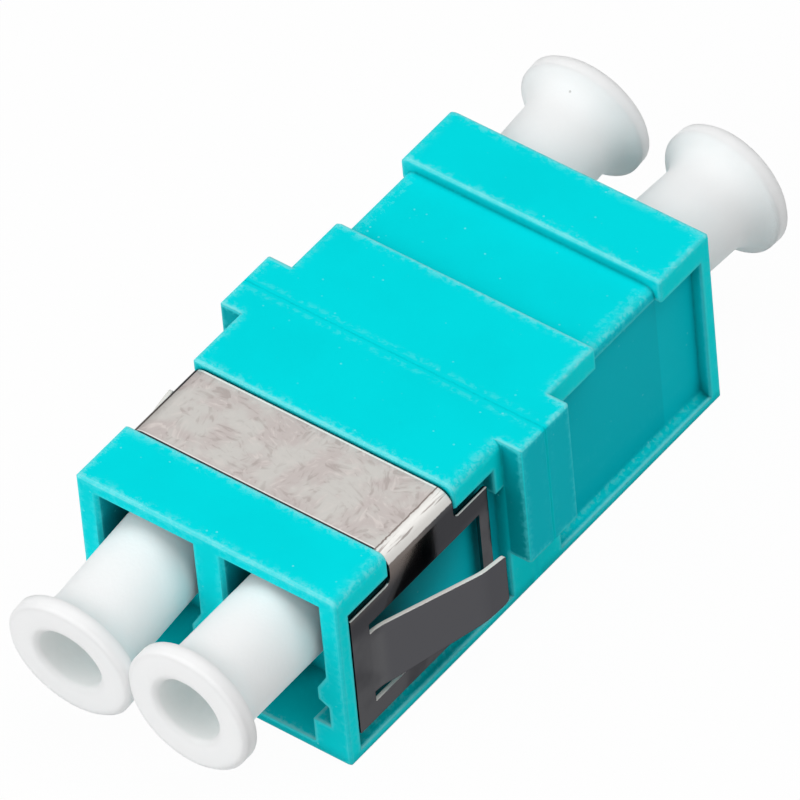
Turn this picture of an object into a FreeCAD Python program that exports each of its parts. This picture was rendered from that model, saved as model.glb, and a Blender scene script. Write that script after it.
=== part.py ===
import FreeCAD, Part
import math
import os

import Sketcher

# Duplex fibre optic adapter: two identical moulded halves welded mouth outwards, a folded
# spring clip on the front half, two split sleeves inside and four dust caps in the ports.
# Millimetres. X runs across the width, Y along the length with the clip at the -Y end,
# Z up. The origin is the middle of the flat underside.

SIZES = {
    # Housing, both halves
    "width": 13.0,
    "height": 9.28,
    "length": 24.6,
    "long_edge_round": 0.17,
    "soft_edge_round": 0.4,
    "face_edge_chamfer": 0.1,
    "seam_chamfer": 0.04,
    # Ears that stop the adapter against the panel
    "ear_reach": 1.04,
    "ear_length": 3.18,
    "ear_low": 2.95,
    "ear_round": 0.15,
    # Channel over the top for the clip, measured from the weld plane
    "channel_near": 4.68,
    "channel_width": 4.31,
    "channel_depth": 0.53,
    "channel_inset": 0.33,
    "channel_edge_chamfer": 0.07,
    "core_round": 0.4,
    # Side recess for the clip plates
    "recess_depth": 0.55,
    "front_land": 0.65,
    "recess_low": 0.45,
    "recess_roof": 1.15,
    "ledge_round": 0.3,
    "stop_width": 0.55,
    "stop_height": 1.35,
    # Ports for the plugs, latch side down
    "port_pitch": 6.25,
    "port_width": 4.7,
    "port_height": 4.7,
    "roof_wall": 0.75,
    "lead_in": 0.16,
    "tooth_gap": 4.0,
    "tooth_depth": 3.2,
    "tooth_top": 1.75,
    "tooth_slope": 0.6,
    "tooth_face": 0.65,
    "tooth_under": 0.25,
    "groove_width": 5.0,
    "groove_height": 1.1,
    "slot_width": 3.24,
    "floor_wall": 0.55,
    "bulkhead": 1.2,
    # Sleeves and the barrels that hold them
    "ferrule": 1.25,
    "ferrule_play": 0.08,
    "sleeve_wall": 0.175,
    "sleeve_length": 6.8,
    "sleeve_slit": 0.2,
    "sleeve_play": 0.03,
    "barrel_wall": 0.62,
    "barrel_lip": 0.35,
    # Spring clip, one folded sheet
    "sheet": 0.18,
    "clip_fit": 0.15,
    "strip_play": 0.1,
    "plate_play": 0.12,
    "plate_rear_gap": 0.5,
    "plate_foot_gap": 0.85,
    "plate_top_gap": 0.51,
    "neck_round": 0.35,
    "front_bar": 1.08,
    "rear_bar": 0.6,
    "lower_bar": 0.9,
    "upper_bar": 1.05,
    "tab_gap": 0.55,
    "tab_tip_gap": 0.84,
    "tab_rise": 0.67,
    "tab_angle": 20.4,
    "tip_angle": 8.0,
    "tip_run": 1.0,
    "tab_bend": 2.5,
    "taper_from": 1.0,
    "tip_round": 0.5,
    "tip_top_round": 0.22,
    # Dust caps
    "cap_play": 0.27,
    "cap_insert": 6.0,
    "rim_height": 0.88,
    "rim_thickness": 0.67,
    "rim_chamfer": 0.14,
    "flare_radius": 1.46,
    "cap_bore": 3.0,
    "bore_chamfer": 0.18,
    "bore_depth": 4.4,
    "cap_web": 0.8,
    "cap_tip": 0.15,
    # How far each cap stands out, and how far askew in its port it sits, in degrees
    "front_left_reach": 5.57,
    "front_left_lean": 1.6,
    "front_left_droop": 4.7,
    "front_right_reach": 5.6,
    "front_right_lean": 0.1,
    "front_right_droop": 0.0,
    "rear_left_reach": 5.11,
    "rear_left_lean": 2.0,
    "rear_left_droop": -3.2,
    "rear_right_reach": 5.37,
    "rear_right_lean": -2.4,
    "rear_right_droop": 1.3,
    # Length by which a cut runs past the surface it opens
    "overcut": 1.0,
}


class Size:
    """A number together with the sheet expression that gives it."""

    def __init__(self, value, text):
        self.value = value
        self.text = text

    def __add__(self, other):
        other = as_size(other)
        return Size(self.value + other.value, f"({self.text} + {other.text})")

    def __radd__(self, other):
        return as_size(other) + self

    def __sub__(self, other):
        other = as_size(other)
        return Size(self.value - other.value, f"({self.text} - {other.text})")

    def __rsub__(self, other):
        return as_size(other) - self

    def __mul__(self, other):
        other = as_size(other)
        return Size(self.value * other.value, f"({self.text} * {other.text})")

    def __rmul__(self, other):
        return as_size(other) * self

    def __truediv__(self, other):
        other = as_size(other)
        return Size(self.value / other.value, f"({self.text} / {other.text})")

    def __neg__(self):
        return Size(-self.value, f"(0 - {self.text})")


def as_size(item):
    """Turn a plain number into a Size; leave a Size as it is."""
    if isinstance(item, Size):
        return item
    return Size(float(item), repr(float(item)))


def sine(angle):
    return Size(math.sin(math.radians(angle.value)), f"sin({angle.text} * 1 deg)")


def cosine(angle):
    return Size(math.cos(math.radians(angle.value)), f"cos({angle.text} * 1 deg)")


def root(number):
    return Size(math.sqrt(number.value), f"sqrt({number.text})")


def write_sheet(doc):
    """Put every size in the sheet under its name and return them as Size objects."""
    sheet = doc.addObject("Spreadsheet::Sheet", "Sizes")
    sizes = {}
    for row, (name, value) in enumerate(SIZES.items(), start=1):
        sheet.set(f"A{row}", name)
        sheet.set(f"B{row}", str(value))
        sheet.setAlias(f"B{row}", name)
        sizes[name] = Size(value, f"Sizes.{name}")
    doc.recompute()
    return sizes


def origin_plane(body, role):
    return next(item for item in body.Origin.OriginFeatures if item.Role == role)


def sketch_on(body, name, role, level):
    """An empty sketch on one of the body's own planes, moved by level along its normal."""
    sketch = body.newObject("Sketcher::SketchObject", name)
    sketch.AttachmentSupport = (origin_plane(body, role), [""])
    sketch.MapMode = "FlatFace"
    sketch.setExpression("AttachmentOffset.Base.z", as_size(level).text)
    return sketch


def bind(sketch, constraint, size):
    """Add a constraint and tie its value to the sheet."""
    index = sketch.addConstraint(constraint)
    sketch.setExpression(f"Constraints[{index}]", size.text)


def arc_through(start, end, radius):
    """The short arc from start to end; a positive radius turns left on the way."""
    chord = end - start
    left = FreeCAD.Vector(-chord.y, chord.x, 0).normalize()
    rise = math.sqrt(radius * radius - (chord.Length / 2) ** 2)
    centre = start + chord / 2 + left * math.copysign(rise, radius)
    first, last = (start, end) if radius > 0 else (end, start)
    first_angle = math.atan2(first.y - centre.y, first.x - centre.x)
    last_angle = math.atan2(last.y - centre.y, last.x - centre.x)
    circle = Part.Circle(centre, FreeCAD.Vector(0, 0, 1), abs(radius))
    return Part.ArcOfCircle(circle, first_angle, last_angle)


def draw_outline(sketch, corners):
    """A closed outline. A corner is (x, y), or (x, y, radius) where an arc follows it."""
    corners = [tuple(as_size(item) for item in corner) for corner in corners]
    points = [FreeCAD.Vector(corner[0].value, corner[1].value, 0) for corner in corners]
    ends = []
    for index, corner in enumerate(corners):
        start = points[index]
        end = points[(index + 1) % len(points)]
        if len(corner) == 2:
            edge = sketch.addGeometry(Part.LineSegment(start, end))
            ends.append((edge, 1, 2))
            continue
        edge = sketch.addGeometry(arc_through(start, end, corner[2].value))
        ends.append((edge, 1, 2) if corner[2].value > 0 else (edge, 2, 1))
    for index, (edge, first, last) in enumerate(ends):
        after, after_first, after_last = ends[(index + 1) % len(ends)]
        sketch.addConstraint(Sketcher.Constraint("Coincident", edge, last, after, after_first))
    for corner, (edge, first, last) in zip(corners, ends):
        across = Sketcher.Constraint("DistanceX", -1, 1, edge, first, corner[0].value)
        up = Sketcher.Constraint("DistanceY", -1, 1, edge, first, corner[1].value)
        bind(sketch, across, corner[0])
        bind(sketch, up, corner[1])
        if len(corner) == 3:
            radius = corner[2] if corner[2].value > 0 else -corner[2]
            bind(sketch, Sketcher.Constraint("Radius", edge, radius.value), radius)


def draw_circle(sketch, across, up, radius):
    """One circle, with its centre and radius tied to the sheet."""
    across, up, radius = as_size(across), as_size(up), as_size(radius)
    centre = FreeCAD.Vector(across.value, up.value, 0)
    edge = sketch.addGeometry(Part.Circle(centre, FreeCAD.Vector(0, 0, 1), radius.value))
    bind(sketch, Sketcher.Constraint("DistanceX", -1, 1, edge, 3, across.value), across)
    bind(sketch, Sketcher.Constraint("DistanceY", -1, 1, edge, 3, up.value), up)
    bind(sketch, Sketcher.Constraint("Radius", edge, radius.value), radius)


def box_corners(left, low, right, high):
    return [(left, low), (right, low), (right, high), (left, high)]


def round_box_corners(left, low, right, high, radius, soft_radius):
    """A rectangle with round corners, the upper right one softer, drawn anticlockwise."""
    return [
        (left + radius, low),
        (right - radius, low, radius),
        (right, low + radius),
        (right, high - soft_radius, soft_radius),
        (right - soft_radius, high),
        (left + radius, high, radius),
        (left, high - radius),
        (left, low + radius, radius),
    ]


def mirror_corners(half):
    """Complete an outline whose right half is given from top to bottom."""
    return half + [(-across, up) for across, up in reversed(half)]


def swept(body, kind, name, sketch, length, along_normal):
    """A pad or a pocket that runs along the sketch normal, or against it."""
    feature = body.newObject(f"PartDesign::{kind}", name)
    feature.Profile = sketch
    feature.setExpression("Length", as_size(length).text)
    runs_by_itself = kind == "Pad"
    feature.Reversed = along_normal != runs_by_itself
    sketch.Visibility = False
    return feature


def pad(body, name, sketch, length, along_normal=True):
    return swept(body, "Pad", name, sketch, length, along_normal)


def pocket(body, name, sketch, length, along_normal):
    return swept(body, "Pocket", name, sketch, length, along_normal)


def mirror_across_width(body, name, originals):
    feature = body.newObject("PartDesign::Mirrored", name)
    feature.Originals = originals
    feature.MirrorPlane = (origin_plane(body, "YZ_Plane"), [""])
    body.Tip = feature
    return feature


def dress_edges(body, kind, name, base, size_name, size, wanted):
    """A fillet or chamfer on the edges of base that wanted picks by their box."""
    body.Document.recompute()
    edges = base.Shape.Edges
    names = [f"Edge{number}" for number, edge in enumerate(edges, start=1)
             if wanted(edge.BoundBox)]
    if not names:
        raise RuntimeError(f"{name} finds no edge")
    feature = body.newObject(f"PartDesign::{kind}", name)
    feature.Base = (base, names)
    feature.setExpression(size_name, size.text)
    return feature


def near(first, second):
    return abs(first - second) < 1e-4


def add_housing_half(doc, sizes, label):
    """One moulded half, mouth towards -Y, weld plane at Y = 0."""
    body = doc.addObject("PartDesign::Body", label)
    half_width = sizes["width"] / 2
    half_length = sizes["length"] / 2
    height = sizes["height"]

    sketch = sketch_on(body, "block_outline", "XZ_Plane", 0)
    edge_round = sizes["long_edge_round"]
    soft_round = sizes["soft_edge_round"]
    corners = round_box_corners(-half_width, as_size(0), half_width, height, edge_round, soft_round)
    draw_outline(sketch, corners)
    block = pad(body, "block", sketch, half_length)

    def on_mouth_face(box):
        return near(box.YMin, -half_length.value) and near(box.YMax, -half_length.value)

    dress_edges(body, "Chamfer", "mouth_edges", block, "Size", sizes["face_edge_chamfer"], on_mouth_face)
    add_ears(body, sizes)
    cut_clip_seat(body, sizes)
    cut_ports(body, sizes)
    return body


def add_ears(body, sizes):
    """The two panel stops, half of each on this moulding, and the weld seam over the top."""
    half_width = sizes["width"] / 2
    height = sizes["height"]
    root_across = half_width - sizes["long_edge_round"] - sizes["soft_edge_round"]
    tip_across = half_width + sizes["ear_reach"]
    ear_half = sizes["ear_length"] / 2

    right = sketch_on(body, "right_ear_outline", "XZ_Plane", 0)
    draw_outline(right, box_corners(root_across, sizes["ear_low"], tip_across, height))
    right_ear = pad(body, "right_ear", right, ear_half)
    ears = mirror_across_width(body, "ears", [right_ear])

    def outer_ear_edge(box):
        outermost = near(box.XMin, box.XMax) and near(abs(box.XMax), tip_across.value)
        upright = near(box.YMin, -ear_half.value) and near(box.YMax, -ear_half.value)
        along_top = near(box.ZMin, height.value) and near(box.ZMax, height.value)
        return outermost and (upright or along_top)

    rounded = dress_edges(body, "Fillet", "ear_edges", ears, "Radius", sizes["ear_round"], outer_ear_edge)

    def top_weld_edge(box):
        at_weld = near(box.YMin, 0) and near(box.YMax, 0)
        return at_weld and near(box.ZMin, height.value) and near(box.ZMax, height.value)

    dress_edges(body, "Chamfer", "weld_seam", rounded, "Size", sizes["seam_chamfer"], top_weld_edge)


def cut_clip_seat(body, sizes):
    """The channel over the top and the recess on each side that take the spring clip."""
    half_width = sizes["width"] / 2
    height = sizes["height"]
    overcut = sizes["overcut"]
    core_across = half_width - sizes["channel_inset"]
    core_top = height - sizes["channel_depth"]
    corner = sizes["core_round"]
    low = sizes["recess_low"]
    roof = height - sizes["recess_roof"]
    channel_low = roof - sizes["channel_inset"]
    beyond = half_width + overcut

    channel = sketch_on(body, "channel_outline", "XZ_Plane", sizes["channel_near"])
    draw_outline(channel, [
        (-beyond, channel_low),
        (-core_across, channel_low),
        (-core_across, core_top - corner, -corner),
        (corner - core_across, core_top),
        (core_across - corner, core_top, -corner),
        (core_across, core_top - corner),
        (core_across, channel_low),
        (beyond, channel_low),
        (beyond, height + overcut),
        (-beyond, height + overcut),
    ])
    cut = pocket(body, "clip_channel", channel, sizes["channel_width"], along_normal=True)

    near_wall = -sizes["channel_near"]
    far_wall = near_wall - sizes["channel_width"]

    def outer_wall_edge(box):
        on_near = near(box.YMin, near_wall.value) and near(box.YMax, near_wall.value)
        on_far = near(box.YMin, far_wall.value) and near(box.YMax, far_wall.value)
        above_core = box.ZMax > core_top.value and not near(box.ZMax, core_top.value)
        return (on_near or on_far) and above_core

    edge_cut = sizes["channel_edge_chamfer"]
    dress_edges(body, "Chamfer", "channel_edges", cut, "Size", edge_cut, outer_wall_edge)

    wall_across = half_width - sizes["recess_depth"]
    front = sizes["front_land"] - sizes["length"] / 2
    ear_face = -sizes["ear_length"] / 2
    stop_face = ear_face - sizes["stop_width"]
    stop_foot = roof - sizes["stop_height"]
    side = sketch_on(body, "side_outline", "YZ_Plane", wall_across)
    draw_outline(side, [
        (front, low),
        (ear_face, low),
        (ear_face, stop_foot),
        (stop_face, stop_foot),
        (stop_face, roof),
        (front, roof),
    ])
    recess = pocket(body, "right_recess", side, sizes["recess_depth"] + overcut, along_normal=True)
    recesses = mirror_across_width(body, "side_recesses", [recess])

    def ledge_corner(box):
        at_wall = near(abs(box.XMin), wall_across.value) and near(abs(box.XMax), wall_across.value)
        return at_wall and near(box.ZMin, low.value) and near(box.ZMax, low.value)

    dress_edges(body, "Fillet", "ledge_corners", recesses, "Radius", sizes["ledge_round"], ledge_corner)


def cut_ports(body, sizes):
    """Two plug ports with latch teeth, each ending at a barrel for the split sleeve."""
    half_length = sizes["length"] / 2
    axis_across = sizes["port_pitch"] / 2
    roof = sizes["height"] - sizes["roof_wall"]
    axis_up = roof - sizes["port_height"] / 2
    port_half = sizes["port_width"] / 2
    groove_half = sizes["groove_width"] / 2
    slot_half = sizes["slot_width"] / 2
    tooth_half = sizes["tooth_gap"] / 2
    tooth_top = axis_up - sizes["tooth_top"]
    face_top = tooth_top - sizes["tooth_slope"]
    face_low = face_top - sizes["tooth_face"]
    groove_top = face_low - sizes["tooth_under"]
    groove_low = groove_top - sizes["groove_height"]

    def about_axis(corners):
        return [(axis_across + across, up) for across, up in mirror_corners(corners)]

    mouth = sketch_on(body, "mouth_outline", "XZ_Plane", half_length)
    draw_outline(mouth, about_axis([
        (port_half, roof),
        (port_half, tooth_top),
        (tooth_half, face_top),
        (tooth_half, face_low),
        (groove_half, groove_top),
        (groove_half, groove_low),
        (slot_half, groove_low),
        (slot_half, sizes["floor_wall"]),
    ]))
    mouth_cut = pocket(body, "right_mouth", mouth, sizes["tooth_depth"], along_normal=False)

    room_start = half_length - sizes["tooth_depth"]
    room = sketch_on(body, "room_outline", "XZ_Plane", room_start)
    draw_outline(room, about_axis([
        (port_half, roof),
        (port_half, groove_top),
        (groove_half, groove_top),
        (groove_half, groove_low),
    ]))
    room_depth = room_start - sizes["bulkhead"]
    room_cut = pocket(body, "right_room", room, room_depth, along_normal=False)

    sleeve_half = sizes["ferrule"] / 2 + sizes["sleeve_wall"]
    seat_half = sleeve_half + sizes["sleeve_play"]
    seat_depth = sizes["sleeve_length"] / 2 + sizes["sleeve_play"]
    barrel_reach = seat_depth + sizes["barrel_lip"] - sizes["bulkhead"]
    barrel = sketch_on(body, "barrel_outline", "XZ_Plane", sizes["bulkhead"])
    draw_circle(barrel, axis_across, axis_up, seat_half + sizes["barrel_wall"])
    barrel_pad = pad(body, "right_barrel", barrel, barrel_reach)

    seat = sketch_on(body, "seat_outline", "XZ_Plane", 0)
    draw_circle(seat, axis_across, axis_up, seat_half)
    seat_cut = pocket(body, "right_seat", seat, seat_depth, along_normal=True)

    hole = sketch_on(body, "hole_outline", "XZ_Plane", seat_depth)
    draw_circle(hole, axis_across, axis_up, sizes["ferrule"] / 2 + sizes["ferrule_play"])
    hole_depth = sizes["barrel_lip"] + sizes["overcut"]
    hole_cut = pocket(body, "right_hole", hole, hole_depth, along_normal=True)

    steps = [mouth_cut, room_cut, barrel_pad, seat_cut, hole_cut]
    ports = mirror_across_width(body, "ports", steps)

    def mouth_lead(box):
        on_face = near(box.YMin, -half_length.value) and near(box.YMax, -half_length.value)
        level_top = near(box.ZMin, roof.value) and near(box.ZMax, roof.value)
        upright = near(box.XMin, box.XMax) and near(box.ZMin, tooth_top.value)
        return on_face and (level_top or (upright and near(box.ZMax, roof.value)))

    dress_edges(body, "Chamfer", "lead_ins", ports, "Size", sizes["lead_in"], mouth_lead)


def plate_edges(sizes):
    """Front, rear, low and high edges of a clip plate, from the recess that holds it."""
    front = sizes["front_land"] + sizes["plate_play"] - sizes["length"] / 2
    rear = -sizes["ear_length"] / 2 - sizes["stop_width"] - sizes["plate_rear_gap"]
    low = sizes["recess_low"] + sizes["plate_foot_gap"]
    high = sizes["height"] - sizes["recess_roof"] - sizes["plate_top_gap"]
    return front, rear, low, high


def window_edges(sizes):
    """Front, rear, low and high edges of the window that the tab springs from."""
    front, rear, low, high = plate_edges(sizes)
    front = front + sizes["front_bar"]
    rear = rear - sizes["rear_bar"]
    return front, rear, low + sizes["lower_bar"], high - sizes["upper_bar"]


def add_clip(doc, sizes):
    """The spring clip: a strip over the top, a plate down each side, a sprung tab in each."""
    body = doc.addObject("PartDesign::Body", "spring_clip")
    half_width = sizes["width"] / 2
    sheet = sizes["sheet"]
    inner_across = half_width - sizes["channel_inset"] + sizes["clip_fit"]
    inner_top = sizes["height"] - sizes["channel_depth"] + sizes["clip_fit"]
    inner_round = sizes["core_round"] + sizes["clip_fit"]
    outer_across = inner_across + sheet
    outer_top = inner_top + sheet
    outer_round = inner_round + sheet
    plate_front, plate_rear, plate_low, _ = plate_edges(sizes)

    section = sketch_on(body, "sheet_section", "XZ_Plane", -plate_rear)
    draw_outline(section, [
        (outer_across, plate_low),
        (outer_across, outer_top - outer_round, outer_round),
        (outer_across - outer_round, outer_top),
        (outer_round - outer_across, outer_top, outer_round),
        (-outer_across, outer_top - outer_round),
        (-outer_across, plate_low),
        (-inner_across, plate_low),
        (-inner_across, inner_top - inner_round, -inner_round),
        (inner_round - inner_across, inner_top),
        (inner_across - inner_round, inner_top, -inner_round),
        (inner_across, inner_top - inner_round),
        (inner_across, plate_low),
    ])
    pad(body, "folded_sheet", section, plate_rear - plate_front)
    trim_clip_plates(body, sizes)
    add_clip_tabs(body, sizes, inner_across)
    return body


def trim_clip_plates(body, sizes):
    """Cut the strip to the width of its channel and open the window round each tab."""
    beyond = sizes["width"] / 2 + sizes["overcut"]
    above = sizes["height"] + sizes["overcut"]
    plate_front, plate_rear, _, plate_high = plate_edges(sizes)
    neck = sizes["neck_round"]
    strip_rear = -sizes["channel_near"] - sizes["strip_play"]
    strip_front = sizes["strip_play"] - sizes["channel_near"] - sizes["channel_width"]
    past_front = plate_front - sizes["overcut"]
    past_rear = plate_rear + sizes["overcut"]

    shoulders = (
        ("front_shoulder", [
            (past_front, plate_high),
            (strip_front - neck, plate_high, neck),
            (strip_front, plate_high + neck),
            (strip_front, above),
            (past_front, above),
        ]),
        ("rear_shoulder", [
            (past_rear, plate_high),
            (past_rear, above),
            (strip_rear, above),
            (strip_rear, plate_high + neck, neck),
            (strip_rear + neck, plate_high),
        ]),
    )
    for name, corners in shoulders:
        outline = sketch_on(body, f"{name}_outline", "YZ_Plane", beyond)
        draw_outline(outline, corners)
        pocket(body, name, outline, beyond * 2, along_normal=False)

    window = sketch_on(body, "window_outline", "YZ_Plane", beyond)
    window_front, window_rear, window_low, window_high = window_edges(sizes)
    draw_outline(window, box_corners(window_front, window_low, window_rear, window_high))
    pocket(body, "tab_windows", window, beyond * 2, along_normal=False)


def add_clip_tabs(body, sizes, inner_across):
    """A tab on each plate, bent outwards at its root and back again near its tip."""
    half_sheet = sizes["sheet"] / 2
    bend = sizes["tab_bend"]
    steep = sizes["tab_angle"]
    slight = sizes["tip_angle"]
    root_along, window_rear, window_low, window_high = window_edges(sizes)
    tab_low = window_low + sizes["tab_gap"]
    tab_high = window_high - sizes["tab_gap"]
    room = window_rear - root_along - sizes["tab_tip_gap"]
    bends_along = bend * (2 * sine(steep) - sine(slight))
    steep_run = (room - bends_along - sizes["tip_run"] * cosine(slight)) / cosine(steep)

    # Middle line of the sheet: root, both ends of the first bend, both ends of the second, tip
    across = [inner_across + half_sheet]
    along = [root_along]
    across.append(across[0] + bend * (1 - cosine(steep)))
    along.append(along[0] + bend * sine(steep))
    across.append(across[1] + steep_run * sine(steep))
    along.append(along[1] + steep_run * cosine(steep))
    across.append(across[2] + bend * (cosine(slight) - cosine(steep)))
    along.append(along[2] + bend * (sine(steep) - sine(slight)))
    across.append(across[3] + sizes["tip_run"] * sine(slight))
    along.append(along[3] + sizes["tip_run"] * cosine(slight))
    headings = [as_size(0), steep, steep, slight, slight]

    def face_points(side):
        step = half_sheet * side
        return [(x + step * cosine(heading), y - step * sine(heading))
                for x, y, heading in zip(across, along, headings)]

    outer = face_points(1)
    inner = face_points(-1)
    plan = sketch_on(body, "tab_plan", "XY_Plane", tab_low)
    draw_outline(plan, [
        (*outer[0], half_sheet - bend),
        outer[1],
        (*outer[2], bend + half_sheet),
        outer[3],
        outer[4],
        inner[4],
        (*inner[3], half_sheet - bend),
        inner[2],
        (*inner[1], bend + half_sheet),
        inner[0],
    ])
    tab = pad(body, "right_tab", plan, tab_high - tab_low)

    # The lower edge climbs towards the tip, and both corners of the tip are round
    tip_along = outer[4][1] + half_sheet
    corner = sizes["tip_round"]
    taper_start = root_along + sizes["taper_from"]
    taper_end = tip_along - corner
    taper_top = tab_low + sizes["tab_rise"]
    wall_across = sizes["width"] / 2 - sizes["recess_depth"]
    taper = sketch_on(body, "taper_outline", "YZ_Plane", wall_across)
    draw_outline(taper, [
        (taper_start, window_low),
        (tip_along + corner, window_low),
        (tip_along + corner, taper_top + corner),
        (tip_along, taper_top + corner, -corner),
        (taper_end, taper_top),
        (taper_start, tab_low),
    ])
    reach = outer[4][0] + sizes["overcut"] - inner_across
    trim = pocket(body, "right_taper", taper, reach, along_normal=True)

    top_corner = sizes["tip_top_round"]
    blunted = sketch_on(body, "tip_outline", "YZ_Plane", wall_across)
    draw_outline(blunted, [
        (tip_along - top_corner, tab_high, -top_corner),
        (tip_along, tab_high - top_corner),
        (tip_along + corner, tab_high - top_corner),
        (tip_along + corner, tab_high + corner),
        (tip_along - top_corner, tab_high + corner),
    ])
    tip = pocket(body, "right_tip", blunted, reach, along_normal=True)
    mirror_across_width(body, "tabs", [tab, trim, tip])


def add_sleeve(doc, sizes, label, side):
    """A split ceramic sleeve across the weld plane, its slit upwards."""
    body = doc.addObject("PartDesign::Body", label)
    half = sizes["sleeve_length"] / 2
    bore = sizes["ferrule"] / 2
    outside = bore + sizes["sleeve_wall"]
    slit = sizes["sleeve_slit"] / 2

    ring = sketch_on(body, "ring_outline", "XZ_Plane", -half)
    draw_circle(ring, 0, 0, outside)
    draw_circle(ring, 0, 0, bore)
    pad(body, "ring", ring, half * 2)
    gap = sketch_on(body, "gap_outline", "XZ_Plane", half)
    draw_outline(gap, box_corners(-slit, as_size(0), slit, outside + sizes["overcut"]))
    pocket(body, "gap", gap, half * 2, along_normal=False)

    axis_up = sizes["height"] - sizes["roof_wall"] - sizes["port_height"] / 2
    body.setExpression("Placement.Base.x", (sizes["port_pitch"] / 2 * side).text)
    body.setExpression("Placement.Base.z", axis_up.text)
    return body


def add_cap(doc, sizes, end, side_name):
    """A soft turned cap: rim, flare and hollow barrel, turned about the middle of its fit."""
    label = f"{end}_{side_name}_cap"
    body = doc.addObject("PartDesign::Body", label)
    side = 1 if side_name == "right" else -1
    barrel = sizes["port_width"] / 2 - sizes["cap_play"]
    rim = barrel + sizes["rim_height"]
    bore = sizes["cap_bore"] / 2
    bore_cut = sizes["bore_chamfer"]
    rim_cut = sizes["rim_chamfer"]
    flare = sizes["flare_radius"]
    flare_side = flare - sizes["rim_height"]
    flare_run = root(flare * flare - flare_side * flare_side)
    half_fit = sizes["cap_insert"] / 2
    face = -half_fit - sizes[f"{end}_{side_name}_reach"]
    rim_back = face + sizes["rim_thickness"]
    bore_end = face + sizes["bore_depth"]
    web_end = bore_end + sizes["cap_web"]

    outline = sketch_on(body, "cap_outline", "XY_Plane", 0)
    draw_outline(outline, [
        (0, bore_end),
        (bore, bore_end),
        (bore, face + bore_cut),
        (bore + bore_cut, face),
        (rim - rim_cut, face),
        (rim, face + rim_cut),
        (rim, rim_back, -flare),
        (barrel, rim_back + flare_run),
        (barrel, half_fit - sizes["cap_tip"]),
        (barrel - sizes["cap_tip"], half_fit),
        (bore, half_fit),
        (bore, web_end),
        (0, web_end),
    ])
    turned = body.newObject("PartDesign::Revolution", "turned_cap")
    turned.Profile = outline
    turned.ReferenceAxis = (outline, ["V_Axis"])
    turned.Angle = 360

    half_length = sizes["length"] / 2
    middle = half_fit - half_length if end == "front" else half_length - half_fit
    axis_up = sizes["height"] - sizes["roof_wall"] - sizes["port_height"] / 2
    lean = sizes[f"{end}_{side_name}_lean"].value
    droop = sizes[f"{end}_{side_name}_droop"].value
    facing = 0 if end == "front" else 180
    turn = FreeCAD.Rotation(FreeCAD.Vector(0, 0, 1), facing + lean)
    nod = FreeCAD.Rotation(FreeCAD.Vector(1, 0, 0), droop)
    body.Placement = FreeCAD.Placement(FreeCAD.Vector(), turn * nod)
    body.setExpression("Placement.Base.x", (sizes["port_pitch"] / 2 * side).text)
    body.setExpression("Placement.Base.y", middle.text)
    body.setExpression("Placement.Base.z", axis_up.text)
    return body


def check_document(doc, bodies):
    """Stop if a feature failed, did nothing, or left a bad shape."""
    for item in doc.Objects:
        if "Invalid" in item.State or "Error" in item.State:
            raise RuntimeError(f"{item.Name} failed: {item.State}")
    for body in bodies:
        for feature in body.Group:
            base = getattr(feature, "BaseFeature", None)
            if base is None:
                continue
            change = feature.Shape.Volume - base.Shape.Volume
            cuts = feature.TypeId in ("PartDesign::Pocket", "PartDesign::Chamfer")
            adds = feature.TypeId == "PartDesign::Pad"
            if near(change, 0) or (cuts and change > 0) or (adds and change < 0):
                raise RuntimeError(f"{feature.Name} changes the volume by {change}")
        shape = body.Shape
        if shape.isNull() or not shape.isValid() or len(shape.Solids) != 1:
            raise RuntimeError(f"{body.Label} is not one valid solid")


def main():
    doc = FreeCAD.newDocument("fibre_adapter")
    sizes = write_sheet(doc)
    front_half = add_housing_half(doc, sizes, "front_housing")
    rear_half = add_housing_half(doc, sizes, "rear_housing")
    rear_half.Placement.Rotation = FreeCAD.Rotation(FreeCAD.Vector(0, 0, 1), 180)
    bodies = [front_half, rear_half, add_clip(doc, sizes)]
    bodies.append(add_sleeve(doc, sizes, "left_sleeve", -1))
    bodies.append(add_sleeve(doc, sizes, "right_sleeve", 1))
    for end in ("front", "rear"):
        for side_name in ("left", "right"):
            bodies.append(add_cap(doc, sizes, end, side_name))
    doc.recompute()
    check_document(doc, bodies)
    os.makedirs("parts", exist_ok=True)
    for body in bodies:
        body.Shape.exportStep(f"parts/{body.Label}.step")
        print(body.Label, round(body.Shape.Volume, 2), body.Shape.BoundBox)


main()
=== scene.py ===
"""Looks of a duplex fibre optic adapter with four dust caps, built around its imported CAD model."""

import math

import bpy
from mathutils import Matrix, Vector


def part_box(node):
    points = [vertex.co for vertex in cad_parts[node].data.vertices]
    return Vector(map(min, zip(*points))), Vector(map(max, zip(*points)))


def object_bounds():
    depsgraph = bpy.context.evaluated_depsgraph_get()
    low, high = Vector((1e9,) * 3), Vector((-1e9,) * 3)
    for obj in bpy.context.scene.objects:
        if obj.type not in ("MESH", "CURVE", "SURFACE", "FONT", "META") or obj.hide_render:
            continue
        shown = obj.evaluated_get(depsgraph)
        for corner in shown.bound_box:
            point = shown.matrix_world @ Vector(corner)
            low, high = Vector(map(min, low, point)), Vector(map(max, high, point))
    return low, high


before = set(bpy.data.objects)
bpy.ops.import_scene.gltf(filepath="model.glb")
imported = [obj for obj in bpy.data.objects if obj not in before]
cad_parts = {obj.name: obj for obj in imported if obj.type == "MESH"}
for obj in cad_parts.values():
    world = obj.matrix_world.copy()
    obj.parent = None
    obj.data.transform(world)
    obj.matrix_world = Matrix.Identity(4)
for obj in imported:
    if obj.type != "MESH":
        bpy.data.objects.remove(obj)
cad_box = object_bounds()

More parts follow.
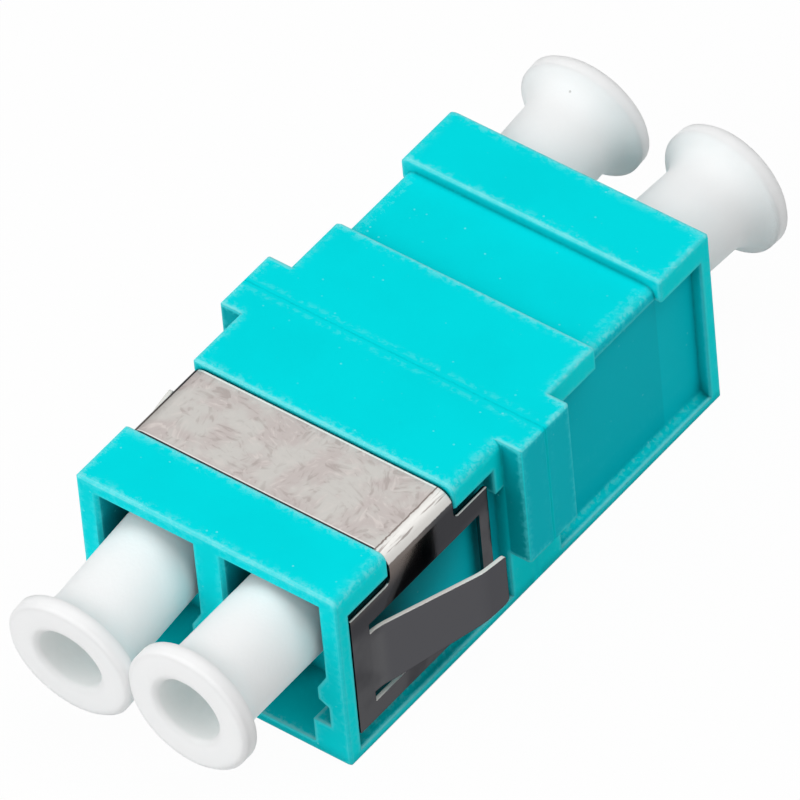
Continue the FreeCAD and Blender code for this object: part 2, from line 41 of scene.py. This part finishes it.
MM = 0.001
HOUSINGS = ("front_housing", "rear_housing")
CAPS = ("front_left_cap", "front_right_cap", "rear_left_cap", "rear_right_cap")
CLIP = "spring_clip"
SLEEVES = ("left_sleeve", "right_sleeve")

# Viewpoint of the photograph: a long lens above the front right corner
CAMERA_AZIMUTH = math.radians(41.186)
CAMERA_ELEVATION = math.radians(45.451)
CAMERA_ROLL = math.radians(-5.54)
CAMERA_DISTANCE = 705.2 * MM
CAMERA_AIM = Vector((-0.60, 0.81, 5.59)) * MM
CAMERA_LENS = 795.9

# Light, sized in metres: a broad lamp at the front left, one overhead to the right, and a faint even sky
FRONT_LAMP = {"towards": Vector((-0.30, -0.78, 0.55)), "power": 0.52, "size": 0.34}
TOP_LAMP = {"towards": Vector((0.22, 0.06, 0.97)), "power": 0.445, "size": 0.24}
LAMP_DISTANCE = 0.30
SKY_LEVEL = 0.26
FLOOR_SIZE = 4.0
FLOOR_DROP = 0.02 * MM
FLOOR_PALE = (0.80, 0.80, 0.80, 1)
FLOOR_SHADOW_SHARE = 0.03
WHITE = (1, 1, 1, 1)

# Colours, linear
AQUA = (0.0, 0.755, 0.810, 1)
AQUA_DEEP = (0.0, 0.730, 0.785, 1)
AQUA_SIDE_SHADE = (0.0, 0.565, 0.655, 1)
AQUA_LAND_LIGHT = (0.0, 0.840, 0.880, 1)
AQUA_EAR_END_SHADE = (0.0, 0.42, 0.47, 1)
AQUA_INSERT = (0.0, 0.620, 0.710, 1)
AQUA_WELD_LIGHT = (0.0, 0.800, 0.870, 1)
AQUA_FROST_AND_HIGHLIGHT = (0.24, 0.86, 0.89, 1)
AQUA_EDGE_WEAR_AND_HIGHLIGHT = (0.09, 0.86, 0.91, 1)
AQUA_CREVICE_SHADE = (0.0, 0.16, 0.19, 1)
CAP_WHITE = (0.975, 0.978, 0.980, 1)
CAP_SHADE = (0.960, 0.968, 0.972, 1)
CAP_BORE_LIGHT = (0.94, 1.0, 0.975, 1)
CAP_SPECK = (0.35, 0.33, 0.31, 1)
STEEL_STRIP = (0.516, 0.500, 0.476, 1)
STEEL_PINK = (0.478, 0.434, 0.418, 1)
STEEL_PALE = (0.590, 0.545, 0.520, 1)
STEEL_SMEAR = (0.315, 0.270, 0.252, 1)
STEEL_BURR_HIGHLIGHT = (0.78, 0.76, 0.73, 1)
STEEL_GAP_SHADOW = (0.035, 0.045, 0.050, 1)
STEEL_SCORE = (0.20, 0.17, 0.155, 1)
STEEL_FOLD_SHEEN = (0.57, 0.56, 0.54, 1)
STEEL_FOLD_HIGHLIGHT = (0.64, 0.627, 0.604, 1)
STEEL_BROWN_REFLECTION = (0.186, 0.162, 0.150, 1)
STEEL_PLATE_REFLECTION = (0.105, 0.105, 0.110, 1)
STEEL_PLATE_DEEP_REFLECTION = (0.069, 0.069, 0.074, 1)
STEEL_TAB_REFLECTION = (0.086, 0.086, 0.093, 1)
STEEL_CUT_EDGE_HIGHLIGHT = (0.86, 0.84, 0.80, 1)
STEEL_GRAZING_TINT = (0.35, 0.35, 0.35, 1)
CERAMIC = (0.88, 0.87, 0.82, 1)
CERAMIC_SHADE = (0.82, 0.81, 0.76, 1)

# All sizes from here on are in millimetres. Points this near a height count as at it
TOUCH = 0.01

# How far the borders between tones fade
FINE_FADE = 0.04
SHARP_FADE = 0.06
SOFT_FADE = 0.1

# Places on the body, in from its outer faces or out from the weld, and sizes of its wear, its painted edge
# highlight and its painted crevice shade
EAR_STEP = 1.04
EAR_REACH = 1.9
EAR_FADE = 0.2
RECESS_DEPTH = 0.55
CHANNEL_DEPTH = 0.53
CHANNEL_MARGIN = 1.05
CHANNEL_FADE = 0.3
INSERT_INSET = 3.05
BASE_SKIN = 0.06
BASE_FADE = 0.08
WELD_LINE = 0.08
WELD_BLUR = 0.25
EDGE_WIDTH = 0.2
FROST_WIDTH = 0.7
CREVICE_SHADE_REACH = 1.5
BODY_WAX_DEPTH = 0.4
BODY_ROUND = 0.2
BODY_GRAIN = 0.006

# Sizes on the caps and the sleeves
BORE_REACH = 3.0
CAP_WAX_DEPTH = 4.0
CAP_ROUND = 0.55
CAP_GRAIN = 0.008
CERAMIC_ROUND = 0.03
CERAMIC_GRAIN = 0.002

# Sizes on the clip: lines along the strip, the two folds, and the side plates with their tabs
BURR_WIDTH = 0.09
BURR_FADE = 0.054
GAP_SHADOW_WIDTH = 0.08
SCORE_LEAD = 0.09
SCORE_WIDTH = 0.04
SCORE_FADE = 0.03
RAGGED = 0.05
FOLD_LEAD = 0.02
FOLD_DULL_WIDTH = 0.28
FOLD_DULL_FADE = 0.14
FOLD_SCORED_START = 0.03
FOLD_SCORED_END = 0.43
FOLD_SCORED_FADE = 0.05
FOLD_BRIGHT_DROP = 0.49
FOLD_BRIGHT_RAGGED = 0.03
FOLD_EDGE = 0.08
FOLD_HEIGHT = 0.93
LEFT_FOLD_BRIGHT_WIDTH = 0.26
BROWN_DROP = 1.3
BROWN_DROP_FADE = 1.2
BROWN_INSET = 1.97
BROWN_INSET_FADE = 2.5
TAB_DROP = 2.73
TAB_LIFT = 0.115
TAB_FADE = 0.17
PLATE_DEEP_DROP = 2.53
PLATE_DEEP_FADE = 0.9
CUT_EDGE_SKIN = 0.08
CLIP_ROUND = 0.05
CLIP_GRAIN = 0.003

# Rays for each point where a material feels for nearby surfaces
FEELERS = 4


def points_at(name, height):
    """The points of the node's mesh at the height."""
    points = [vertex.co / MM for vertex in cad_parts[name].data.vertices]
    return [point for point in points if abs(point.z - height) < TOUCH]


def body_places():
    """Where the body's flat faces and the line of its mould insert lie; both halves are alike."""
    low, high = [Vector(corner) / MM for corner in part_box(HOUSINGS[0])]
    land = high.x - EAR_STEP
    return {
        "land": land,
        "recess": land - RECESS_DEPTH,
        "channel": high.z - CHANNEL_DEPTH,
        "channel_edge": land - CHANNEL_MARGIN,
        "insert": abs(low.y) - INSERT_INSET,
    }


def clip_places():
    """Where the clip's strip, right fold, right plate and tabs lie."""
    low, high = [Vector(corner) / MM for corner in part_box(CLIP)]
    strip = points_at(CLIP, high.z)
    return {
        "top": high.z,
        "front": min(point.y for point in strip),
        "rear": max(point.y for point in strip),
        "fold": max(point.x for point in strip),
        "outside": max(point.x for point in points_at(CLIP, low.z)),
        "tabs": high.z - TAB_DROP,
    }


def put(socket, value):
    """Link an output to the socket, or set a plain value on it."""
    if isinstance(value, bpy.types.NodeSocket):
        socket.id_data.links.new(value, socket)
    else:
        socket.default_value = value


class Nodes:
    """Short ways to add the shader nodes used here."""

    def __init__(self, tree):
        tree.nodes.clear()
        self.tree = tree

    def add(self, kind, inputs, **settings):
        node = self.tree.nodes.new(kind)
        for name, value in settings.items():
            setattr(node, name, value)
        for key, value in inputs.items():
            put(node.inputs[key], value)
        return node

    def math(self, operation, first, second=0.0, clamp=True):
        node = self.add("ShaderNodeMath", {0: first, 1: second}, operation=operation, use_clamp=clamp)
        return node.outputs[0]

    def vector(self, operation, first, second=(0, 0, 0)):
        return self.add("ShaderNodeVectorMath", {0: first, 1: second}, operation=operation).outputs

    def both(self, *factors):
        """The product of the factors."""
        result = factors[0]
        for factor in factors[1:]:
            result = self.math("MULTIPLY", result, factor)
        return result

    def either(self, first, second):
        """The larger of the two factors."""
        return self.math("MAXIMUM", first, second)

    def size(self, value):
        """The value without its sign."""
        return self.math("ABSOLUTE", value, clamp=False)

    def jitter(self, value, noise, amount):
        """The value moved to and fro by the noise."""
        return self.math("ADD", value, self.between(noise, -amount, amount), clamp=False)

    def rise(self, value, low, high):
        """From 0 at low to 1 at high; the other way round where low is the larger."""
        limits = {"Value": value, "From Min": low, "From Max": high}
        return self.add("ShaderNodeMapRange", limits, interpolation_type="SMOOTHSTEP").outputs[0]

    def above(self, value, border, fade):
        """1 above the border and 0 below it."""
        return self.rise(value, border - fade / 2, border + fade / 2)

    def below(self, value, border, fade):
        """1 below the border and 0 above it."""
        return self.rise(value, border + fade / 2, border - fade / 2)

    def band(self, value, low, high, fade):
        """1 from low to high and 0 outside."""
        return self.both(self.rise(value, low - fade, low), self.rise(value, high + fade, high))

    def near(self, value, level, fade):
        """1 at the level and 0 further off than the fade."""
        return self.band(value, level, level, fade)

    def between(self, factor, first, second):
        """A plain number that goes from first to second with the factor."""
        limits = {"Value": factor, "To Min": first, "To Max": second}
        return self.add("ShaderNodeMapRange", limits).outputs[0]

    def mix(self, factor, first, second, share=1.0):
        """A colour that goes from first to second with the factor, at most by the share."""
        if share < 1:
            factor = self.math("MULTIPLY", factor, share)
        node = self.add("ShaderNodeMix", {0: factor, 6: first, 7: second}, data_type="RGBA")
        return node.outputs[2]

    def blend(self, factor, first, second):
        """A vector that goes from first to second with the factor."""
        node = self.add("ShaderNodeMix", {0: factor, 4: first, 5: second}, data_type="VECTOR")
        return node.outputs[1]

    def place(self):
        """The point on the object in millimetres."""
        point = self.add("ShaderNodeTexCoord", {}).outputs["Object"]
        scaled = self.add("ShaderNodeVectorMath", {0: point, "Scale": 1 / MM}, operation="SCALE")
        return scaled.outputs[0]

    def parts(self, vector):
        return self.add("ShaderNodeSeparateXYZ", {0: vector}).outputs

    def normal(self):
        return self.add("ShaderNodeNewGeometry", {}).outputs["Normal"]

    def stretched(self, place, factors, turn=0.0):
        """The place turned about Z and then scaled along each axis."""
        inputs = {"Vector": place, "Angle": turn}
        turned = self.add("ShaderNodeVectorRotate", inputs, rotation_type="Z_AXIS")
        return self.vector("MULTIPLY", turned.outputs[0], factors)[0]

    def noise(self, place, scale, detail=3.0, roughness=0.5, distortion=0.0):
        inputs = {"Vector": place, "Scale": scale, "Detail": detail,
                  "Roughness": roughness, "Distortion": distortion}
        return self.add("ShaderNodeTexNoise", inputs).outputs["Fac"]

    def cells(self, place, scale):
        return self.add("ShaderNodeTexVoronoi", {"Vector": place, "Scale": scale}).outputs

    def specks(self, place, scale, size):
        """1 on small dots strewn about scale to the millimetre, 0 elsewhere."""
        return self.rise(self.cells(place, scale)["Distance"], size, size / 2)

    def openness(self, reach, inside=False, alone=False):
        """1 where nothing is near; seen from inside, less than 1 beside outer edges."""
        settings = {"samples": FEELERS, "inside": inside, "only_local": inside or alone}
        node = self.add("ShaderNodeAmbientOcclusion", {"Distance": reach * MM}, **settings)
        return node.outputs["AO"]

    def rounded(self, radius):
        """Normals as if the edges were rounded by the radius."""
        return self.add("ShaderNodeBevel", {"Radius": radius * MM}, samples=FEELERS).outputs[0]

    def bump(self, height, distance, normal):
        inputs = {"Height": height, "Distance": distance * MM, "Strength": 1.0, "Normal": normal}
        return self.add("ShaderNodeBump", inputs).outputs[0]


def material(name, fill):
    """A new material whose surface is the shader that fill returns."""
    result = bpy.data.materials.new(name)
    result.use_nodes = True
    nodes = Nodes(result.node_tree)
    shader = fill(nodes)
    nodes.add("ShaderNodeOutputMaterial", {"Surface": shader.outputs[0]})
    return result


def seen_directly(nodes):
    """1 for rays that show the background: to the camera, in gloss, or through glass."""
    path = nodes.add("ShaderNodeLightPath", {}).outputs
    gloss = nodes.math("ADD", path["Is Glossy Ray"], path["Is Transmission Ray"])
    return nodes.math("ADD", path["Is Camera Ray"], gloss)


def aqua_plastic(nodes):
    """Satin moulded plastic with painted light and shade: sides and ear ends painted darker, lands and the
    weld lighter, a painted highlight with the frost along the outer edges, painted shade in the gaps, and
    stray specks.
    """
    body = body_places()
    place = nodes.place()
    across, along, up = nodes.parts(place)
    aside = nodes.size(across)
    far_out = nodes.size(along)
    true_normal = nodes.normal()
    face_x, face_y, face_z = nodes.parts(true_normal)
    sideways = nodes.size(face_x)
    endways = nodes.rise(nodes.size(face_y), 0.6, 0.9)
    cloud = nodes.noise(place, 0.30)
    patch = nodes.noise(place, 1.4, detail=4.0)
    flecks = nodes.noise(place, 3.6, detail=5.0, roughness=0.65)
    grain = nodes.noise(place, 9.0, detail=4.0)
    fine = nodes.noise(place, 28.0, detail=2.0)
    colour = nodes.mix(nodes.rise(cloud, 0.35, 0.7), AQUA, AQUA_DEEP)

    # Painted light and shade: the sides are painted deeper in tone than the top as shade, except their
    # outer lands, which are painted lighter as light; the ears' ends are painted the deepest, as shade
    side_painted_light = nodes.mix(nodes.near(aside, body["land"], SOFT_FADE), AQUA_SIDE_SHADE, AQUA_LAND_LIGHT)
    colour = nodes.mix(nodes.rise(sideways, 0.8, 0.95), colour, side_painted_light)
    # Painted shade on the ends of the ears
    past_land = nodes.above(aside, body["land"] + SOFT_FADE / 2, SOFT_FADE)
    on_ear = nodes.both(past_land, nodes.below(far_out, EAR_REACH, EAR_FADE))
    colour = nodes.mix(nodes.both(on_ear, endways), colour, AQUA_EAR_END_SHADE)

    # The mould insert leaves a line across the floor of each side recess
    at_recess = nodes.near(aside, body["recess"], SHARP_FADE)
    on_recess = nodes.both(at_recess, nodes.rise(sideways, 0.8, 0.9))
    insert = nodes.both(on_recess, nodes.above(far_out, body["insert"], SOFT_FADE))
    colour = nodes.mix(insert, colour, AQUA_INSERT)

    # Painted shade in the narrow gaps and corners, darkest where other surfaces are near, but not on the
    # weld or the flat underside
    off_weld = nodes.above(far_out, WELD_BLUR, WELD_BLUR)
    off_base = nodes.above(up, BASE_SKIN, BASE_FADE)
    crevice_shade = nodes.both(nodes.rise(nodes.openness(CREVICE_SHADE_REACH), 0.72, 0.22), off_weld, off_base)
    colour = nodes.mix(crevice_shade, colour, AQUA_CREVICE_SHADE, share=0.95)

    # Frosted wear with a painted highlight on it: a pale line on the outer edges, most on the top and the
    # ends, where light falls
    upward = nodes.rise(face_z, 0.1, 0.7)
    frost_and_highlight = nodes.mix(upward, AQUA_EDGE_WEAR_AND_HIGHLIGHT, AQUA_FROST_AND_HIGHLIGHT)
    worn_and_lit = nodes.between(nodes.either(upward, nodes.both(endways, 0.8)), 0.5, 1.0)
    sharpness = nodes.math("SUBTRACT", 1.0, nodes.openness(EDGE_WIDTH, inside=True))
    uneven = nodes.between(patch, 0.5, 1.1)
    edge_wear_and_highlight = nodes.both(nodes.rise(sharpness, 0.04, 0.26), worn_and_lit, uneven, off_weld)
    colour = nodes.mix(edge_wear_and_highlight, colour, frost_and_highlight)

    # A broken band of crumbs beside the line, but not across the middle of the thin channel floors
    turn = nodes.vector("DOT_PRODUCT", true_normal, nodes.rounded(FROST_WIDTH))["Value"]
    beside_edge = nodes.rise(turn, 0.998, 0.90)
    in_open = nodes.rise(nodes.openness(FROST_WIDTH), 0.8, 0.95)
    crumbs = nodes.both(beside_edge, in_open, nodes.rise(flecks, 0.46, 0.58), worn_and_lit, off_weld)
    at_channel = nodes.near(up, body["channel"], SHARP_FADE)
    mid_channel = nodes.both(at_channel, nodes.below(aside, body["channel_edge"], CHANNEL_FADE))
    colour = nodes.mix(nodes.math("SUBTRACT", crumbs, mid_channel), colour, frost_and_highlight, share=0.8)

    # The line of the weld painted lighter, as painted light against the shade of its groove, and stray
    # specks
    colour = nodes.mix(nodes.below(far_out, WELD_LINE, WELD_LINE), colour, AQUA_WELD_LIGHT, share=0.6)
    strewn = nodes.both(nodes.specks(place, 2.2, 0.14), nodes.rise(patch, 0.52, 0.62), worn_and_lit)
    colour = nodes.mix(strewn, colour, AQUA_FROST_AND_HIGHLIGHT, share=0.5)

    # The weld is flush, so the edges of the halves aren't rounded there
    flush = nodes.vector("NORMALIZE", nodes.vector("MULTIPLY", true_normal, (1, 0, 1))[0])[0]
    smooth = nodes.blend(off_weld, flush, nodes.rounded(BODY_ROUND))
    texture = nodes.math("ADD", nodes.both(grain, 0.6), nodes.both(fine, 0.4))
    return nodes.add("ShaderNodeBsdfPrincipled", {
        "Base Color": colour,
        "Roughness": nodes.between(grain, 0.42, 0.58),
        "Specular IOR Level": 0.02,
        "Subsurface Weight": 0.10,
        "Subsurface Radius": (0.3, 0.8, 0.8),
        "Subsurface Scale": BODY_WAX_DEPTH * MM,
        "Normal": nodes.bump(texture, BODY_GRAIN, smooth),
    })


def waxy_white(nodes):
    """Soft white plastic of the dust caps: lets light through around the bore, which is also painted a
    greenish white as painted light, with stray specks.
    """
    place = nodes.place()
    cloud = nodes.noise(place, 0.5)
    grain = nodes.noise(place, 5.0, detail=4.0)
    colour = nodes.mix(nodes.rise(cloud, 0.4, 0.75), CAP_WHITE, CAP_SHADE)
    # Painted light: the bores are painted greenish white, for bounce off the aqua body and light through
    # the wax
    in_bore = nodes.rise(nodes.openness(BORE_REACH, alone=True), 0.80, 0.60)
    colour = nodes.mix(in_bore, colour, CAP_BORE_LIGHT)
    dirt = nodes.both(nodes.specks(place, 0.55, 0.04), nodes.rise(cloud, 0.5, 0.6))
    colour = nodes.mix(dirt, colour, CAP_SPECK, share=0.7)
    return nodes.add("ShaderNodeBsdfPrincipled", {
        "Base Color": colour,
        "Roughness": nodes.between(grain, 0.45, 0.6),
        "Specular IOR Level": 0.25,
        "Subsurface Weight": nodes.between(in_bore, 0.05, 1.0),
        "Subsurface Radius": (1.0, 1.0, 1.0),
        "Subsurface Scale": CAP_WAX_DEPTH * MM,
        "Normal": nodes.bump(grain, CAP_GRAIN, nodes.rounded(CAP_ROUND)),
    })


def rubbed_strip(nodes, place, strokes, clip):
    """Colour of the clip's top: two tones under short strokes, burrs with painted highlights on the edges,
    a painted gap shadow in front, a scored right fold with a painted highlight.
    """
    across, along, _ = nodes.parts(place)
    patch = nodes.noise(place, 0.7, detail=3.0)
    colour = nodes.mix(nodes.rise(patch, 0.40, 0.60), STEEL_STRIP, STEEL_PINK)
    rubbed = nodes.between(nodes.rise(patch, 0.36, 0.56), 0.35, 1.0)
    pale = nodes.both(nodes.rise(strokes, 0.54, 0.72), rubbed)
    dark = nodes.both(nodes.rise(strokes, 0.47, 0.30), rubbed)
    colour = nodes.mix(pale, colour, STEEL_PALE, share=0.7)
    colour = nodes.mix(dark, colour, STEEL_SMEAR, share=0.5)

    # A burr along both edges with a painted highlight on it, and a painted shadow of the gap in front
    gap_shadow_line = clip["front"] + GAP_SHADOW_WIDTH
    rear_burr_highlight = nodes.above(along, clip["rear"] - BURR_WIDTH, BURR_FADE)
    front_burr_highlight = nodes.below(along, gap_shadow_line + BURR_WIDTH / 2, BURR_FADE)
    colour = nodes.mix(nodes.either(rear_burr_highlight, front_burr_highlight), colour, STEEL_BURR_HIGHLIGHT)
    # Painted shadow of the gap between the strip's front edge and the body
    colour = nodes.mix(nodes.below(along, gap_shadow_line, FINE_FADE), colour, STEEL_GAP_SHADOW)

    # The right fold: a score where it starts, then a painted highlight over it, brighter further over,
    # with fine scratches along it
    fold = clip["fold"]
    ragged = nodes.jitter(across, strokes, RAGGED)
    score = fold - SCORE_LEAD
    scored = nodes.band(ragged, score, score + SCORE_WIDTH, SCORE_FADE)
    colour = nodes.mix(scored, colour, STEEL_SCORE)
    colour = nodes.mix(nodes.above(ragged, fold - FOLD_LEAD, SHARP_FADE), colour, STEEL_FOLD_SHEEN)
    fold_highlight = nodes.above(ragged, fold + FOLD_DULL_WIDTH, FOLD_DULL_FADE)
    fold_highlight = nodes.both(fold_highlight, nodes.between(pale, 1.0, 0.8))
    colour = nodes.mix(fold_highlight, colour, STEEL_FOLD_HIGHLIGHT)
    scratches = nodes.noise(nodes.stretched(place, (9.0, 0.6, 9.0)), 1.0, detail=3.0)
    on_fold = nodes.band(across, fold + FOLD_SCORED_START, fold + FOLD_SCORED_END, FOLD_SCORED_FADE)
    scratched = nodes.both(nodes.rise(scratches, 0.54, 0.64), on_fold)
    return nodes.mix(scratched, colour, STEEL_SCORE, share=0.7)


def plate_reflection(nodes, place, clip):
    """Colour of the clip's sides, a painted reflection: dark, darker up high, a brown reflection under the
    front of the fold, one even tone on the tabs.
    """
    across, along, up = nodes.parts(place)
    cloud = nodes.noise(place, 0.4)
    colour = nodes.mix(nodes.rise(cloud, 0.45, 0.7), STEEL_PLATE_REFLECTION, STEEL_PLATE_DEEP_REFLECTION)
    deeper_reflection = nodes.above(up, clip["top"] - PLATE_DEEP_DROP, PLATE_DEEP_FADE)
    colour = nodes.mix(deeper_reflection, colour, STEEL_PLATE_DEEP_REFLECTION)
    lifted = nodes.above(nodes.size(across), clip["outside"] + TAB_LIFT, TAB_FADE)
    colour = nodes.mix(lifted, colour, STEEL_TAB_REFLECTION)
    high = nodes.above(up, clip["top"] - BROWN_DROP, BROWN_DROP_FADE)
    forward = nodes.below(along, clip["rear"] - BROWN_INSET, BROWN_INSET_FADE)
    return nodes.mix(nodes.both(high, forward), colour, STEEL_BROWN_REFLECTION)


def spring_steel(nodes):
    """Rolled sheet: rubbed on top, with a painted highlight over the right fold, polished down the sides
    with a painted dark reflection.
    """
    clip = clip_places()
    place = nodes.place()
    across, _, up = nodes.parts(place)
    aside = nodes.size(across)
    _, _, face_z = nodes.parts(nodes.normal())

    # Short strokes, each patch of them in a direction of its own
    wobble = nodes.add("ShaderNodeTexNoise", {"Vector": place, "Scale": 1.5}).outputs["Color"]
    patches = nodes.cells(nodes.vector("ADD", place, wobble)[0], 0.9)["Color"]
    turn = nodes.math("MULTIPLY", patches, 2 * math.pi, clamp=False)
    streaked = nodes.stretched(place, (3.2, 1.0, 1.0), turn)
    strokes = nodes.noise(streaked, 1.1, detail=3.0, distortion=1.2)

    # The sides start below the bright part of the right fold, and part of the way over the left one
    ragged = nodes.jitter(up, strokes, FOLD_BRIGHT_RAGGED)
    under_bright = nodes.below(ragged, clip["top"] - FOLD_BRIGHT_DROP, SHARP_FADE)
    off_strip = nodes.above(aside, clip["fold"] + FOLD_EDGE, SOFT_FADE)
    on_left = nodes.below(across, -clip["fold"] - LEFT_FOLD_BRIGHT_WIDTH, SHARP_FADE)
    on_side = nodes.either(nodes.both(under_bright, off_strip), on_left)
    strip_tone = rubbed_strip(nodes, place, strokes, clip)
    colour = nodes.mix(on_side, strip_tone, plate_reflection(nodes, place, clip))

    # Cut edges of the sheet that face up or down are hardly metallic and painted bright, a painted
    # highlight on their matt sheared faces
    on_skin = nodes.above(aside, clip["outside"] - CUT_EDGE_SKIN, FINE_FADE)
    shown = nodes.either(on_skin, nodes.below(up, clip["tabs"], SOFT_FADE))
    under_folds = nodes.below(up, clip["top"] - FOLD_HEIGHT, SOFT_FADE)
    cut_edge = nodes.both(nodes.rise(nodes.size(face_z), 0.75, 0.9), under_folds, shown)
    colour = nodes.mix(cut_edge, colour, STEEL_CUT_EDGE_HIGHLIGHT)

    # The strip is dull and uneven, the sides polished
    dull = nodes.between(strokes, 0.46, 0.60)
    polished = 0.12
    roughness = nodes.add("ShaderNodeMix", {0: on_side, 2: dull, 3: polished}, data_type="FLOAT")
    return nodes.add("ShaderNodeBsdfPrincipled", {
        "Base Color": colour,
        "Metallic": nodes.between(cut_edge, 1.0, 0.15),
        "Roughness": roughness.outputs[0],
        "Specular Tint": STEEL_GRAZING_TINT,
        "Normal": nodes.bump(strokes, CLIP_GRAIN, nodes.rounded(CLIP_ROUND)),
    })


def fired_ceramic(nodes):
    """Polished ceramic of the split sleeves."""
    grain = nodes.noise(nodes.place(), 3.0)
    return nodes.add("ShaderNodeBsdfPrincipled", {
        "Base Color": nodes.mix(nodes.rise(grain, 0.4, 0.7), CERAMIC, CERAMIC_SHADE),
        "Roughness": nodes.between(grain, 0.12, 0.22),
        "Normal": nodes.bump(grain, CERAMIC_GRAIN, nodes.rounded(CERAMIC_ROUND)),
    })


def pale_floor(nodes):
    """White where it is seen, with a share of its lit surface for the shadow; clear from below."""
    lit = nodes.add("ShaderNodeBsdfDiffuse", {"Color": FLOOR_PALE})
    plain = nodes.add("ShaderNodeEmission", {"Color": WHITE, "Strength": 1.0})
    share = nodes.math("MULTIPLY", seen_directly(nodes), 1 - FLOOR_SHADOW_SHARE)
    top = nodes.add("ShaderNodeMixShader", {0: share, 1: lit.outputs[0], 2: plain.outputs[0]})
    from_below = nodes.add("ShaderNodeNewGeometry", {}).outputs["Backfacing"]
    clear = nodes.add("ShaderNodeBsdfTransparent", {"Color": WHITE})
    return nodes.add("ShaderNodeMixShader", {0: from_below, 1: top.outputs[0], 2: clear.outputs[0]})


def dress(node_names, look):
    """Give the CAD nodes the material in place of what they came with."""
    for name in node_names:
        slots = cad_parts[name].data.materials
        slots.clear()
        slots.append(look)


def add_floor(height):
    half = FLOOR_SIZE / 2
    corners = [(-half, -half, height), (half, -half, height), (half, half, height), (-half, half, height)]
    mesh = bpy.data.meshes.new("floor")
    mesh.from_pydata(corners, [], [(0, 1, 2, 3)])
    mesh.materials.append(material("pale_floor", pale_floor))
    floor = bpy.data.objects.new("floor", mesh)
    bpy.context.scene.collection.objects.link(floor)


def add_sky():
    world = bpy.data.worlds.new("sky")
    world.use_nodes = True
    bpy.context.scene.world = world
    nodes = Nodes(world.node_tree)
    level = nodes.between(seen_directly(nodes), SKY_LEVEL, 1.0)
    sky = nodes.add("ShaderNodeBackground", {"Color": WHITE, "Strength": level})
    nodes.add("ShaderNodeOutputWorld", {"Surface": sky.outputs[0]})


def add_lamp(name, aim, towards, power, size):
    """A round lamp that stands off from the aim in one direction and shines back at it."""
    data = bpy.data.lights.new(name, "AREA")
    data.shape = "DISK"
    data.size = size
    data.energy = power
    lamp = bpy.data.objects.new(name, data)
    direction = towards.normalized()
    lamp.location = aim + direction * LAMP_DISTANCE
    lamp.rotation_euler = direction.to_track_quat("Z", "Y").to_euler()
    bpy.context.scene.collection.objects.link(lamp)


def add_camera():
    level = math.cos(CAMERA_ELEVATION)
    right = Vector((math.cos(CAMERA_AZIMUTH), math.sin(CAMERA_AZIMUTH), 0))
    back = Vector((level * right.y, -level * right.x, math.sin(CAMERA_ELEVATION)))
    axes = Matrix((right, back.cross(right), back)).transposed()
    data = bpy.data.cameras.new("camera")
    data.lens = CAMERA_LENS
    camera = bpy.data.objects.new("camera", data)
    turn = axes @ Matrix.Rotation(CAMERA_ROLL, 3, "Z")
    camera.matrix_world = Matrix.Translation(CAMERA_AIM + back * CAMERA_DISTANCE) @ turn.to_4x4()
    bpy.context.scene.collection.objects.link(camera)
    bpy.context.scene.camera = camera


dress(HOUSINGS, material("aqua_plastic", aqua_plastic))
dress(CAPS, material("waxy_white", waxy_white))
dress((CLIP,), material("spring_steel", spring_steel))
dress(SLEEVES, material("fired_ceramic", fired_ceramic))

add_floor(cad_box[0][2] - FLOOR_DROP)
add_sky()
add_lamp("front_lamp", CAMERA_AIM, **FRONT_LAMP)
add_lamp("top_lamp", CAMERA_AIM, **TOP_LAMP)
add_camera()
bpy.context.scene.view_settings.view_transform = "Standard"
